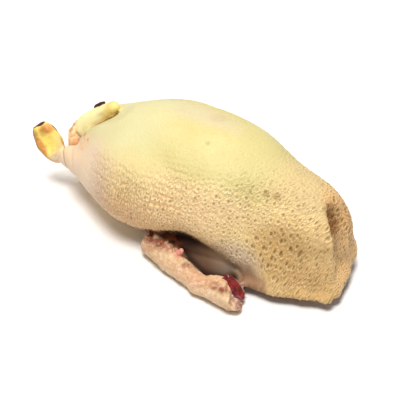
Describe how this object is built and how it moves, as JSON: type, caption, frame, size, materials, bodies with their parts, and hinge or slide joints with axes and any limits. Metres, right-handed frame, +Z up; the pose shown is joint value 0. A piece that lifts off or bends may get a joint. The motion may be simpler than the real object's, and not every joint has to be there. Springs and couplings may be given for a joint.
{
  "type": "whole raw duck",
  "caption": "Dressed whole raw duck lying on its back, with pale yellow pored skin, folded wings cut at the wrist and cut shank stumps.",
  "frame": {"origin": "on the surface that the duck lies on, under the middle of its bounding box", "axes": "+X from the tail towards the neck end, +Z up from the back to the breast, -Y towards the duck's side that faces the viewer in the picture"},
  "size_m": [0.3614, 0.21, 0.1312],
  "materials": {
    "skin": "moist, pored, pale yellow",
    "flesh": "wet raw meat"
  },
  "bodies": {
    "root": {"duck": "skin", "wing_flesh_near": "flesh", "wing_flesh_far": "flesh"}
  },
  "joints": []
}
